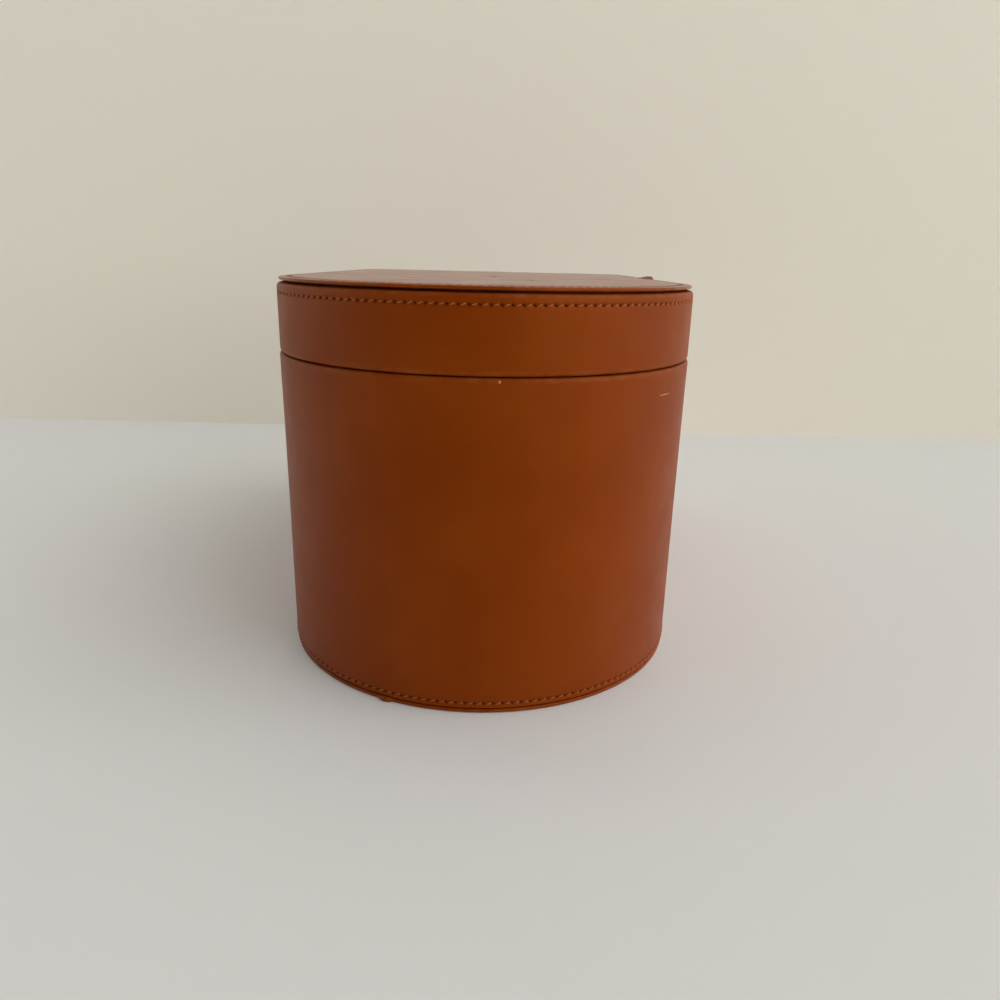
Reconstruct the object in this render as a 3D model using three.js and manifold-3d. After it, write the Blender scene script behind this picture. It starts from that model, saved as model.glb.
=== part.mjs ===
// A hair tool storage case: a long rigid box covered in tan leather-look sheet.
// Its plan is a half-round nose, two straight sides and a flat back.
// The lid opens about a leather hinge on the left side and is lifted by a small tab on the right.
// Millimetres, +Z up, nose towards -Y, flat back towards +Y, origin under the middle of the base.
import * as THREE from "three";
import { mergeVertices } from "three/addons/utils/BufferGeometryUtils.js";
import Module from "manifold-3d";

// Overall sizes, measured over the leather
const CASE_WIDTH = 192;
const CASE_LENGTH = 328;
const BODY_HEIGHT = 142; // table to the seam under the lid
const LID_HEIGHT = 33; // seam to the top of the lid panel
const BACK_CORNER_RADIUS = 8;
const TIGHTEST_CORNER = 0.8; // radius left in a corner that is inset past its own radius

// Sheets and boards
const LEATHER = 1.0;
const EDGE_ROUND = 1.4; // outer edge of a wrap where it turns over its board
const WALL_BOARD = 3.0;
const FLOOR_BOARD = 3.0;
const ROOF_BOARD = 3.0;
const BODY_LINING = 1.2;
const LID_LINING = 0.6;
const FLOOR_PAD = 4.0;
const ROOF_PAD = 4.0;
const PAD_ROUND = 1.5; // rounded edge of a lined pad

// Top and base panels
const LID_PANEL_BOARD = 0.6;
const LID_PANEL_INSET = 0.8; // panel edge behind the face of the wall
const LID_PANEL_GAP = 1.0; // dark gap between the lid panel and the band under it
const BASE_PANEL_BOARD = 0.6;
const BASE_PANEL_INSET = 0.3;
const PANEL_EDGE_ROUND = 0.8;

// Sewn rows
const THREAD_WIDTH = 0.8;
const THREAD_THICK = 0.4;
const THREAD_PROUD = 0.1; // thread above the leather that it is sewn into
const THREAD_SINK = 0.1; // thread under the base panel, kept clear of the table
const BAND_ROW_DROP = 4.0; // top edge of the lid's band to its sewn row
const FOOT_ROW_RISE = 2.7; // lower edge of the body's wrap to its sewn row
const PANEL_ROW_INSET = 4.6; // edge of a panel to its sewn row

// Collar inside the rim
const COLLAR_THICK = 1.8;
const COLLAR_DEPTH = 24; // below the seam
const COLLAR_RISE = 7; // above the seam
const COLLAR_CHAMFER = 0.8;

// Hinge strip and pull tab
const STRAP = 1.2; // thickness of the hinge strip and the tab
const HINGE_LEAF = 16; // height of the strip above and below the seam
const HINGE_MARGIN = 10; // strip ends before the straight side does
const HINGE_CORNER = 4;
const TAB_WIDTH = 20;
const TAB_FROM_BACK = 129; // flat back to the middle of the tab
const TAB_REACH = 7.5; // tab on top of the lid panel
const TAB_ROOT_DROP = 3.4; // top of the lid panel to the fold of the tab
const TAB_FLAP = 23; // free length that hangs below the fold

// Magnets in the edges of the wall boards
const MAGNET_LENGTH = 16;
const MAGNET_HEIGHT = 5;
const MAGNET_COVER = 0.6; // board left on each side of a magnet
const MAGNET_SPACING = 90;

// Clearances
const FIT = 0.2; // glue line between two layers
const SEAM_GAP = 0.4; // between the closed lid and the body, and at the fold of the tab

// Fineness of the curves
const NOSE_STEPS = 32;
const CORNER_STEPS = 3;
const ROUND_STEPS = 2;

// Places worked out from the sizes above
const HALF_WIDTH = CASE_WIDTH / 2;
const HALF_LENGTH = CASE_LENGTH / 2;
const NOSE_CENTRE_Y = HALF_WIDTH - HALF_LENGTH;
const LID_PANEL = LEATHER + FIT + LID_PANEL_BOARD;
const BASE_PANEL = LEATHER + FIT + BASE_PANEL_BOARD;
const BOARD_INSET = LEATHER + FIT;
const LINING_INSET = BOARD_INSET + WALL_BOARD + FIT;
const COLLAR_INSET = LINING_INSET + BODY_LINING + FIT;
const BODY_BOTTOM = BASE_PANEL + FIT;
const BODY_RIM = BODY_HEIGHT - SEAM_GAP / 2;
const FLOOR_TOP = BODY_BOTTOM + FLOOR_BOARD;
const TAB_Y = HALF_LENGTH - TAB_FROM_BACK;
// Heights in the lid are counted from the seam
const LID_RIM = SEAM_GAP / 2;
const LID_BAND_TOP = LID_HEIGHT - LID_PANEL - LID_PANEL_GAP;
const ROOF_TOP = LID_HEIGHT - LID_PANEL - FIT;
const ROOF_UNDERSIDE = ROOF_TOP - ROOF_BOARD;
const TAB_FOLD = LID_HEIGHT - TAB_ROOT_DROP;

const wasm = await Module();
wasm.setup();

// Plan outline drawn `inset` inside the outer face, anticlockwise from the left side.
function planOutline(inset) {
  const radius = HALF_WIDTH - inset;
  const corner = Math.max(BACK_CORNER_RADIUS - inset, TIGHTEST_CORNER);
  const cornerX = radius - corner;
  const cornerY = HALF_LENGTH - inset - corner;
  const nose = new THREE.EllipseCurve(0, NOSE_CENTRE_Y, radius, radius, Math.PI, 2 * Math.PI);
  const right = new THREE.EllipseCurve(cornerX, cornerY, corner, corner, 0, Math.PI / 2);
  const left = new THREE.EllipseCurve(-cornerX, cornerY, corner, corner, Math.PI / 2, Math.PI);
  return [
    ...nose.getPoints(NOSE_STEPS),
    ...right.getPoints(CORNER_STEPS),
    ...left.getPoints(CORNER_STEPS),
  ];
}

// Sweeps a section of [inset, z] points round the plan outline.
// The section runs up the outside and down the inside. A ring's section closes on itself;
// any other section is closed by a flat face at its start, looking down, and at its end, looking up.
function sweep(section, isRing) {
  const loops = section.map(([inset, z]) =>
    planOutline(inset).map((point) => new THREE.Vector3(point.x, point.y, z)),
  );
  const count = loops[0].length;
  const spans = isRing ? loops.length : loops.length - 1;
  const triangles = [];
  for (let loop = 0; loop < spans; loop++) {
    const low = loop * count;
    const high = ((loop + 1) % loops.length) * count;
    for (let i = 0; i < count; i++) {
      const next = (i + 1) % count;
      triangles.push(low + i, low + next, high + next);
      triangles.push(low + i, high + next, high + i);
    }
  }
  const last = (loops.length - 1) * count;
  for (let i = 1; !isRing && i < count - 1; i++) {
    triangles.push(0, i + 1, i);
    triangles.push(last, last + i, last + i + 1);
  }
  return new THREE.BufferGeometry().setFromPoints(loops.flat()).setIndex(triangles);
}

// Quarter round in a section, about [inset, z], from one angle to another.
function roundEdge(inset, z, radius, from, to) {
  const quarter = new THREE.EllipseCurve(inset, z, radius, radius, from, to, to < from);
  return quarter.getPoints(ROUND_STEPS).map((point) => [point.x, point.y]);
}

// Rounds that lead from an underside up the outer face, and from the outer face onto a top.
function roundOntoSide(inset, z, radius) {
  return roundEdge(inset + radius, z + radius, radius, 1.5 * Math.PI, Math.PI);
}

function roundOntoTop(inset, z, radius) {
  return roundEdge(inset + radius, z - radius, radius, Math.PI, Math.PI / 2);
}

// A sleeve between two insets and two heights.
function sleeve(outer, inner, bottom, top) {
  return sweep([[inner, bottom], [outer, bottom], [outer, top], [inner, top]], true);
}

// A flat plate with the plan's outline.
function plate(inset, bottom, top) {
  return sweep([[inset, bottom], [inset, top]], false);
}

// A lined pad with one rounded edge, on its upper or its lower face.
function pad(inset, bottom, top, softSide) {
  const lower = softSide === "below" ? roundOntoSide(inset, bottom, PAD_ROUND) : [[inset, bottom]];
  const upper = softSide === "above" ? roundOntoTop(inset, top, PAD_ROUND) : [[inset, top]];
  return sweep([...lower, ...upper], false);
}

// Leather round a wall: turned in over both edges of its board, with a groove for the sewn row.
function wrap(bottom, top, rowHeight) {
  const reach = BOARD_INSET + WALL_BOARD;
  const halfGroove = THREAD_WIDTH / 2 + FIT;
  const grooveDepth = THREAD_THICK - THREAD_PROUD + FIT;
  const section = [
    [reach, bottom],
    ...roundOntoSide(0, bottom, EDGE_ROUND),
    [0, rowHeight - halfGroove],
    [grooveDepth, rowHeight - halfGroove],
    [grooveDepth, rowHeight + halfGroove],
    [0, rowHeight + halfGroove],
    ...roundOntoTop(0, top, EDGE_ROUND),
    [reach, top],
    [reach, top - LEATHER],
    [LEATHER, top - LEATHER],
    [LEATHER, bottom + LEATHER],
    [reach, bottom + LEATHER],
  ];
  return sweep(section, true);
}

// Thread of a row sewn into a wall, standing a little proud of the leather.
function wallThread(rowHeight) {
  const half = THREAD_WIDTH / 2;
  return sleeve(-THREAD_PROUD, THREAD_THICK - THREAD_PROUD, rowHeight - half, rowHeight + half);
}

// Insets of a panel's sewn row: outer and inner side of the thread, widened by `clear`.
function panelRow(panelInset, clear) {
  const middle = panelInset + PANEL_ROW_INSET;
  return [middle - THREAD_WIDTH / 2 - clear, middle + THREAD_WIDTH / 2 + clear];
}

// Rolled outer edge of a panel, from its underside to its top.
function panelEdge(panelInset, bottom, top) {
  return [
    ...roundOntoSide(panelInset, bottom, PANEL_EDGE_ROUND),
    ...roundOntoTop(panelInset, top, PANEL_EDGE_ROUND),
  ];
}

// Leather tray under the base panel's board, with its sewn row on the underside.
function basePanelCover() {
  const [rowOuter, rowInner] = panelRow(BASE_PANEL_INSET, FIT);
  const grooveDepth = THREAD_SINK + THREAD_THICK + FIT;
  const section = [
    [rowInner, 0],
    [rowInner, grooveDepth],
    [rowOuter, grooveDepth],
    [rowOuter, 0],
    ...panelEdge(BASE_PANEL_INSET, 0, BASE_PANEL),
    [BASE_PANEL_INSET + LEATHER, BASE_PANEL],
    [BASE_PANEL_INSET + LEATHER, LEATHER],
  ];
  return sweep(section, false);
}

// Leather cap over the lid panel's board, with its sewn row on top.
function lidPanelCover() {
  const [rowOuter, rowInner] = panelRow(LID_PANEL_INSET, FIT);
  const grooveDepth = THREAD_THICK - THREAD_PROUD + FIT;
  const underside = LID_HEIGHT - LID_PANEL;
  const section = [
    [LID_PANEL_INSET + LEATHER, LID_HEIGHT - LEATHER],
    [LID_PANEL_INSET + LEATHER, underside],
    ...panelEdge(LID_PANEL_INSET, underside, LID_HEIGHT),
    [rowOuter, LID_HEIGHT],
    [rowOuter, LID_HEIGHT - grooveDepth],
    [rowInner, LID_HEIGHT - grooveDepth],
    [rowInner, LID_HEIGHT],
  ];
  return sweep(section, false);
}

// Lined collar: its upper outer edge is bevelled so that the lid slides over it.
function rimCollar() {
  const inner = COLLAR_INSET + COLLAR_THICK;
  const bottom = BODY_HEIGHT - COLLAR_DEPTH;
  const top = BODY_HEIGHT + COLLAR_RISE;
  const section = [
    [inner, bottom],
    [COLLAR_INSET, bottom],
    [COLLAR_INSET, top - COLLAR_CHAMFER],
    [COLLAR_INSET + COLLAR_CHAMFER, top],
    [inner, top],
  ];
  return sweep(section, true);
}

// A box of a magnet's thickness or its pocket's, standing in the middle of the right wall board.
function magnetBox(clear, bottom, top) {
  const thickness = WALL_BOARD - 2 * (MAGNET_COVER + FIT) + 2 * clear;
  return new THREE.BoxGeometry(thickness, MAGNET_LENGTH + 2 * clear, top - bottom);
}

const MAGNET_X = HALF_WIDTH - BOARD_INSET - WALL_BOARD / 2;
const MAGNET_PLACES = { front: TAB_Y - MAGNET_SPACING / 2, rear: TAB_Y + MAGNET_SPACING / 2 };

function solidOf(geometry) {
  const bare = new THREE.BufferGeometry()
    .setAttribute("position", geometry.getAttribute("position"))
    .setIndex(geometry.index);
  const merged = mergeVertices(bare);
  return new wasm.Manifold(
    new wasm.Mesh({
      numProp: 3,
      vertProperties: merged.getAttribute("position").array,
      triVerts: new Uint32Array(merged.index.array),
    }),
  );
}

// Wall board with a pocket for each magnet, open at the edge beside the seam.
function wallBoard(bottom, top, pocketBottom, pocketTop) {
  let board = solidOf(sleeve(BOARD_INSET, BOARD_INSET + WALL_BOARD, bottom, top));
  for (const y of Object.values(MAGNET_PLACES)) {
    const pocket = magnetBox(FIT, pocketBottom, pocketTop);
    pocket.translate(MAGNET_X, y, (pocketBottom + pocketTop) / 2);
    board = board.subtract(solidOf(pocket));
  }
  const cut = board.getMesh();
  return new THREE.BufferGeometry()
    .setAttribute("position", new THREE.BufferAttribute(cut.vertProperties, 3))
    .setIndex(new THREE.BufferAttribute(cut.triVerts, 1));
}

// A plate drawn in width and height stands along the side: width on +Y, height on +Z, face on +X.
const SIDE_ON = [Math.PI / 2, Math.PI / 2, 0];
// A section drawn in X and Z runs along -Y.
const ALONG_SIDE = [Math.PI / 2, 0, 0];

// One half of the hinge strip: square at the fold, round at the corners away from it.
function hingeLeaf(direction) {
  const length = CASE_LENGTH - HALF_WIDTH - BACK_CORNER_RADIUS - 2 * HINGE_MARGIN;
  const fold = direction * (SEAM_GAP / 2);
  const end = direction * HINGE_LEAF;
  const turn = end - direction * HINGE_CORNER;
  const outline = new THREE.Shape();
  outline.moveTo(0, fold);
  outline.lineTo(length, fold);
  outline.lineTo(length, turn);
  outline.quadraticCurveTo(length, end, length - HINGE_CORNER, end);
  outline.lineTo(HINGE_CORNER, end);
  outline.quadraticCurveTo(0, end, 0, turn);
  outline.closePath();
  return new THREE.ExtrudeGeometry(outline, { depth: STRAP, bevelEnabled: false, curveSegments: 4 });
}

// Fixed part of the tab: a leaf on the lid panel that bends down over the panel's edge.
function pullTabRoot() {
  const inner = HALF_WIDTH - LID_PANEL_INSET - TAB_REACH;
  const under = LID_HEIGHT + FIT;
  const face = HALF_WIDTH + FIT;
  const section = new THREE.Shape();
  section.moveTo(inner, under);
  section.lineTo(face, under);
  section.lineTo(face, TAB_FOLD);
  section.lineTo(face + STRAP, TAB_FOLD);
  section.lineTo(face + STRAP, under);
  section.absarc(face, under, STRAP, 0, Math.PI / 2, false);
  section.lineTo(inner, under + STRAP);
  section.closePath();
  return new THREE.ExtrudeGeometry(section, {
    depth: TAB_WIDTH,
    bevelEnabled: false,
    curveSegments: 3,
  });
}

// Free part of the tab: a tongue that hangs from the fold, with a round end.
function pullTabFlap() {
  const half = TAB_WIDTH / 2;
  const outline = new THREE.Shape();
  outline.moveTo(-half, -SEAM_GAP);
  outline.lineTo(-half, half - TAB_FLAP);
  outline.absarc(0, half - TAB_FLAP, half, Math.PI, 2 * Math.PI, false);
  outline.lineTo(half, -SEAM_GAP);
  outline.closePath();
  return new THREE.ExtrudeGeometry(outline, { depth: STRAP, bevelEnabled: false, curveSegments: 8 });
}

function tanLeather() {
  return new THREE.MeshStandardMaterial({ color: 0x8f4a1e, roughness: 0.5, metalness: 0 });
}

function sewingThread() {
  return new THREE.MeshStandardMaterial({ color: 0xb8794f, roughness: 0.6, metalness: 0 });
}

function greyboard() {
  return new THREE.MeshStandardMaterial({ color: 0x8c8478, roughness: 0.9, metalness: 0 });
}

function velourLining() {
  return new THREE.MeshStandardMaterial({ color: 0x5a4030, roughness: 0.95, metalness: 0 });
}

function nickelMagnet() {
  return new THREE.MeshStandardMaterial({ color: 0xc4c4c8, roughness: 0.3, metalness: 1 });
}

function addPiece(group, name, geometry, material) {
  geometry.computeVertexNormals();
  const mesh = new THREE.Mesh(geometry, material);
  mesh.name = name;
  group.add(mesh);
  return mesh;
}

function addMagnets(group, owner, bottom, top) {
  for (const [place, y] of Object.entries(MAGNET_PLACES)) {
    const bar = addPiece(group, `${owner}_magnet_${place}`, magnetBox(0, bottom, top), nickelMagnet());
    bar.position.set(MAGNET_X, y, (bottom + top) / 2);
  }
}

function addHingeLeaf(group, name, direction, seam) {
  const leaf = addPiece(group, name, hingeLeaf(direction), tanLeather());
  leaf.rotation.set(...SIDE_ON);
  leaf.position.set(-HALF_WIDTH - FIT - STRAP, NOSE_CENTRE_Y + HINGE_MARGIN, seam);
}

function makeBody() {
  const body = new THREE.Group();
  const boardBottom = BODY_BOTTOM + LEATHER + FIT;
  const boardTop = BODY_RIM - LEATHER - FIT;
  const pocketBottom = boardTop - MAGNET_HEIGHT - FIT;
  const wall = wallBoard(boardBottom, boardTop, pocketBottom, boardTop + FIT);
  const footRow = BODY_BOTTOM + FOOT_ROW_RISE;
  const floorSeat = FLOOR_TOP + FIT;
  const lining = sleeve(LINING_INSET, LINING_INSET + BODY_LINING, floorSeat, BODY_RIM);
  const panelBoard = plate(BASE_PANEL_INSET + LEATHER + FIT, LEATHER + FIT, BASE_PANEL);
  const [rowOuter, rowInner] = panelRow(BASE_PANEL_INSET, 0);
  const panelThread = sleeve(rowOuter, rowInner, THREAD_SINK, THREAD_SINK + THREAD_THICK);
  const floorPad = pad(COLLAR_INSET, floorSeat, floorSeat + FLOOR_PAD, "above");

  addPiece(body, "base_panel_cover", basePanelCover(), tanLeather());
  addPiece(body, "base_panel_board", panelBoard, greyboard());
  addPiece(body, "base_panel_thread", panelThread, sewingThread());
  addPiece(body, "body_wrap", wrap(BODY_BOTTOM, BODY_RIM, footRow), tanLeather());
  addPiece(body, "body_foot_thread", wallThread(footRow), sewingThread());
  addPiece(body, "body_wall_board", wall, greyboard());
  addPiece(body, "body_floor_board", plate(LINING_INSET, BODY_BOTTOM, FLOOR_TOP), greyboard());
  addPiece(body, "body_lining", lining, velourLining());
  addPiece(body, "floor_pad", floorPad, velourLining());
  addPiece(body, "rim_collar", rimCollar(), velourLining());
  addMagnets(body, "body", boardTop - MAGNET_HEIGHT, boardTop);
  addHingeLeaf(body, "hinge_body_leaf", -1, BODY_HEIGHT);
  return body;
}

function makeLid() {
  const lid = new THREE.Group();
  const boardBottom = LID_RIM + LEATHER + FIT;
  const boardTop = LID_BAND_TOP - LEATHER - FIT;
  const pocketTop = boardBottom + MAGNET_HEIGHT + FIT;
  const wall = wallBoard(boardBottom, boardTop, boardBottom - FIT, pocketTop);
  const bandRow = LID_BAND_TOP - BAND_ROW_DROP;
  const roofSeat = ROOF_UNDERSIDE - FIT;
  const lining = sleeve(LINING_INSET, LINING_INSET + LID_LINING, LID_RIM, roofSeat);
  const boardInset = LID_PANEL_INSET + LEATHER + FIT;
  const panelBoard = plate(boardInset, LID_HEIGHT - LID_PANEL, LID_HEIGHT - LEATHER - FIT);
  const [rowOuter, rowInner] = panelRow(LID_PANEL_INSET, 0);
  const threadTop = LID_HEIGHT + THREAD_PROUD;
  const panelThread = sleeve(rowOuter, rowInner, threadTop - THREAD_THICK, threadTop);
  const roofPad = pad(LINING_INSET + LID_LINING + FIT, roofSeat - ROOF_PAD, roofSeat, "below");

  addPiece(lid, "lid_wrap", wrap(LID_RIM, LID_BAND_TOP, bandRow), tanLeather());
  addPiece(lid, "lid_band_thread", wallThread(bandRow), sewingThread());
  addPiece(lid, "lid_wall_board", wall, greyboard());
  addPiece(lid, "lid_roof_board", plate(LINING_INSET, ROOF_UNDERSIDE, ROOF_TOP), greyboard());
  addPiece(lid, "lid_lining", lining, velourLining());
  addPiece(lid, "lid_roof_pad", roofPad, velourLining());
  addPiece(lid, "lid_panel_cover", lidPanelCover(), tanLeather());
  addPiece(lid, "lid_panel_board", panelBoard, greyboard());
  addPiece(lid, "lid_panel_thread", panelThread, sewingThread());
  addMagnets(lid, "lid", boardBottom, boardBottom + MAGNET_HEIGHT);
  addHingeLeaf(lid, "hinge_lid_leaf", 1, 0);
  lid.add(makePullTab());
  return lid;
}

function makePullTab() {
  const tab = new THREE.Group();
  const root = addPiece(tab, "pull_tab_root", pullTabRoot(), tanLeather());
  root.rotation.set(...ALONG_SIDE);
  root.position.set(0, TAB_Y + TAB_WIDTH / 2, 0);
  const flap = addPiece(tab, "pull_tab_flap", pullTabFlap(), tanLeather());
  flap.rotation.set(...SIDE_ON);
  flap.position.set(HALF_WIDTH + FIT, TAB_Y, TAB_FOLD);
  return tab;
}

const hairToolCase = new THREE.Group();
hairToolCase.add(makeBody());
const lid = makeLid();
lid.position.z = BODY_HEIGHT;
hairToolCase.add(lid);

export default hairToolCase;
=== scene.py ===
# %% [markdown]
# # A leather-look case for hair tools
# The case is a long rigid box: a half-round nose, straight sides and a flat back, covered in tan sheet and
# sewn along its edges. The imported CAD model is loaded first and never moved. Every piece below is built
# round it in mesh code, in metres and in the same frame, so nothing has to be fitted by eye.

# %% Load the frame
import math
from collections import namedtuple

import bmesh
import bpy
from mathutils import Matrix, Vector, noise


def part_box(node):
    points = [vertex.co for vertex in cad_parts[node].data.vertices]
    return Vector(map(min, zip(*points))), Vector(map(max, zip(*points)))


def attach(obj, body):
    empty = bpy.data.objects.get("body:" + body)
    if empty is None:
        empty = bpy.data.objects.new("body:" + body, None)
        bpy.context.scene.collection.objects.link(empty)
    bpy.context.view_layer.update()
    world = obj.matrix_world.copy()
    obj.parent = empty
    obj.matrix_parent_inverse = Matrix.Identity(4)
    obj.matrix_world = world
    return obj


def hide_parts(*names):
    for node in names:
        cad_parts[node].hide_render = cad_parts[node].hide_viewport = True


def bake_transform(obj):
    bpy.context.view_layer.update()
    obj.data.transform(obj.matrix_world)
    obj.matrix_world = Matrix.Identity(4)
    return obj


MM = 0.001

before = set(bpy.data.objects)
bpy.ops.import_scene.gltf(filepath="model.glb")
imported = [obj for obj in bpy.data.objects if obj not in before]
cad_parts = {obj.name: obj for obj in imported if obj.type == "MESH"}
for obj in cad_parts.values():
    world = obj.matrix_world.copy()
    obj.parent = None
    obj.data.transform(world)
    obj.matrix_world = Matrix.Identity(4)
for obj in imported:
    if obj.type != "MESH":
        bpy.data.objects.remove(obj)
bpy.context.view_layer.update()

# %% [markdown]
# ## The camera
# The case was seen close up, from just above the height of its lid and in front of its nose. Lens, place
# and the small tilt of the hand were found by laying the case's outlines over the view, so they are plain
# numbers. A camera aimed by a constraint would be simpler, but would lose that tilt.

# %% Place the camera
CAMERA_PLACE = (0.008794, -0.449349, 0.183847)
SENSOR_MM = 36
LENS_MM = 27.809
LOOKING_DOWN = math.radians(17.306)
TURNED_RIGHT = math.radians(0.024)
HELD_TILTED = math.radians(1.338)


def add_object(name, data):
    """A new object in the scene."""
    added = bpy.data.objects.new(name, data)
    bpy.context.scene.collection.objects.link(added)
    return added


camera_data = bpy.data.cameras.new("camera")
camera_data.sensor_width = SENSOR_MM
camera_data.lens = LENS_MM
camera = add_object("camera", camera_data)
aim = Matrix.Rotation(-TURNED_RIGHT, 4, "Z") @ Matrix.Rotation(math.pi / 2 - LOOKING_DOWN, 4, "X")
camera.matrix_world = Matrix.Translation(CAMERA_PLACE) @ aim @ Matrix.Rotation(HELD_TILTED, 4, "Z")
bpy.context.scene.camera = camera
bpy.context.scene.view_settings.view_transform = "Standard"
print("camera looks along", [round(value, 3) for value in aim.to_3x3() @ Vector((0, 0, -1))])

# %% [markdown]
# ## Colours and nodes
# Colours are written as the hex values that a paint program shows. Shaders work in linear light, so one
# function converts them. A second adds any node, sets it and links it, so that each material below reads as
# a recipe. A third makes a material from a recipe.

# %% Helpers for materials
def linear(hex_colour):
    """An sRGB hex colour as linear red, green, blue and alpha."""
    channels = [int(hex_colour[i : i + 2], 16) / 255 for i in (1, 3, 5)]
    return [c / 12.92 if c <= 0.04045 else ((c + 0.055) / 1.055) ** 2.4 for c in channels] + [1]


def add_node(tree, kind, inputs=None, **settings):
    """One node in a tree. An input, named or numbered, is set to a value or linked to a socket or a node."""
    node = tree.nodes.new("ShaderNode" + kind)
    for setting, value in settings.items():
        setattr(node, setting, value)
    for socket, value in (inputs or {}).items():
        if isinstance(value, bpy.types.Node):
            value = value.outputs[0]
        if isinstance(value, bpy.types.NodeSocket):
            tree.links.new(value, node.inputs[socket])
        else:
            node.inputs[socket].default_value = value
    return node


def mix_material(name, recipe, *amounts):
    """A node material whose surface comes from a recipe, which is given the place on the object in metres."""
    material = bpy.data.materials.new(name)
    material.use_nodes = True
    tree = material.node_tree
    tree.nodes.clear()
    place = add_node(tree, "TexCoord").outputs["Object"]
    add_node(tree, "OutputMaterial", {"Surface": recipe(tree, place, *amounts)})
    return material


def per_size(size_mm):
    """Scale of a texture whose features are that many millimetres across."""
    return 1 / (size_mm * MM)


# Numbers of the Mix node's colour sockets. Those of a Map Range node are 1 and 2 for the range that comes in,
# 3 and 4 for the range that goes out. A range is 0 to 1 if it isn't set.
MIX_FACTOR, MIX_A, MIX_B, MIX_RESULT = 0, 6, 7, 2


def two_tone(tree, pattern, low, high, first, second):
    """A colour that goes from one hex colour to another where a pattern goes from low to high."""
    share = add_node(tree, "MapRange", {"Value": pattern, 1: low, 2: high})
    colours = {MIX_FACTOR: share, MIX_A: linear(first), MIX_B: linear(second)}
    return add_node(tree, "Mix", colours, data_type="RGBA").outputs[MIX_RESULT]


print("tan in linear light:", [round(value, 3) for value in linear("#8A3C10")])

# %% [markdown]
# ## Polyurethane leather
# The cover is a leather-look sheet: a fabric back with a coloured polyurethane film pressed with a fine
# grain. To the eye it is an even, warm tan with a soft satin sheen, faint clouds of tone, and a grain that
# only shows where light skims it. Real grain is about 0.6 mm across. It is drawn at 1.1 mm, because finer
# pebbles would vanish between the pixels. Two values stored on the mesh tint it: needle holes are painted
# darker, with painted shade that falls into them and the dirt they catch, and rubbed edges are paler. A
# used case also has a few marks: pale flecks where the film is nicked, and dull spots on the lid where it
# is scuffed. Each is a small ellipsoid in the object's own space, so it moves with its piece. A mark painted
# on an image would need an unwrapped mesh. The panels are pressed smoother than the wraps.

# %% Place the marks of use
MARK_GRIT_MM = 1.0
MARK_FULL, MARK_GONE = 1.2, 1.6
FLECKS = [((7.8, -163.8, 140.5), (0.32, 1, 0.7)), ((76.7, -125.8, 131.2), (4.5, 6, 0.15))]
SCUFFS = [((3, -20, 175), (2.4, 5, 1)), ((21.5, -80, 175), (1.4, 4, 1))]


def marks(tree, place, spots):
    """1 inside the spots and 0 outside, with a ragged edge. A spot is a middle and half sizes, in mm."""
    grit = add_node(tree, "TexNoise", {"Vector": place, "Scale": per_size(MARK_GRIT_MM), "Detail": 3})
    masks = []
    for middle, half_sizes in spots:
        scale = [per_size(half) for half in half_sizes]
        shift = [-part * MM * factor for part, factor in zip(middle, scale)]
        local = add_node(tree, "Mapping", {"Vector": place, "Location": shift, "Scale": scale})
        away = add_node(tree, "VectorMath", {0: local}, operation="LENGTH")
        ragged = add_node(tree, "Math", {0: away.outputs["Value"], 1: grit}, operation="ADD")
        masks.append(add_node(tree, "MapRange", {"Value": ragged, 1: MARK_FULL, 2: MARK_GONE, 3: 1, 4: 0}))
    return add_node(tree, "Math", dict(enumerate(masks)), operation="MAXIMUM")


print(len(FLECKS), "flecks and", len(SCUFFS), "scuffs")


# %% Mix the leather
def pu_leather(tree, place, gloss_from, gloss_to):
    clouds, rub, pores, handling = [
        add_node(tree, "TexNoise", {"Vector": place, "Scale": per_size(size_mm), "Detail": detail})
        for size_mm, detail in ((38, 3), (5, 4), (0.5, 2), (14, 4))]
    tone = two_tone(tree, clouds, 0.35, 0.7, "#8A3700", "#923E06")
    edge = add_node(tree, "Attribute", attribute_name="rubbed_edge")
    rub_share = add_node(tree, "MapRange", {"Value": rub, 1: 0.4, 2: 0.75, 4: 0.3})
    worn = add_node(tree, "Math", {0: edge.outputs["Fac"], 1: rub_share}, operation="MULTIPLY")
    # Needle holes are painted darker: painted shade that falls into each hole, with the dirt that collects
    # there.
    hole = add_node(tree, "Attribute", attribute_name="needle_hole_shade_and_dirt")
    scuff = marks(tree, place, SCUFFS)
    soiled = add_node(tree, "MapRange", {"Value": scuff, 4: 0.5})
    dark = add_node(tree, "Math", {0: hole.outputs["Fac"], 1: soiled}, operation="MAXIMUM")
    fleck = marks(tree, place, FLECKS)
    for share, colour in ((worn, "#B0683C"), (dark, "#1A0200"), (fleck, "#E8BE94")):
        layer = {MIX_FACTOR: share, MIX_A: tone, MIX_B: linear(colour)}
        tone = add_node(tree, "Mix", layer, data_type="RGBA").outputs[MIX_RESULT]
    pebbles = add_node(tree, "TexVoronoi", {"Vector": place, "Scale": per_size(1.1)}, feature="SMOOTH_F1")
    grain = add_node(tree, "Bump", {
        "Height": pebbles.outputs["Distance"], "Distance": 0.03 * MM, "Strength": 0.4}, invert=True)
    skin = add_node(tree, "Bump", {"Height": pores, "Distance": 0.01 * MM, "Strength": 0.4, "Normal": grain})
    gloss = add_node(tree, "MapRange", {"Value": handling, 1: 0.3, 2: 0.7, 3: gloss_from, 4: gloss_to})
    dull = add_node(tree, "MapRange", {"Value": scuff, 4: 0.85})
    finish = add_node(tree, "Math", {0: gloss, 1: dull}, operation="MAXIMUM")
    return add_node(tree, "BsdfPrincipled", {
        "Base Color": tone, "IOR": 1.36, "Specular Tint": linear("#FFB878"), "Roughness": finish,
        "Normal": skin})


leather = mix_material("pu_leather_tan", pu_leather, 0.42, 0.5)
pressed_leather = mix_material("pu_leather_tan_pressed", pu_leather, 0.2, 0.27)
print("made", leather.name, "and", pressed_leather.name)

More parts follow.
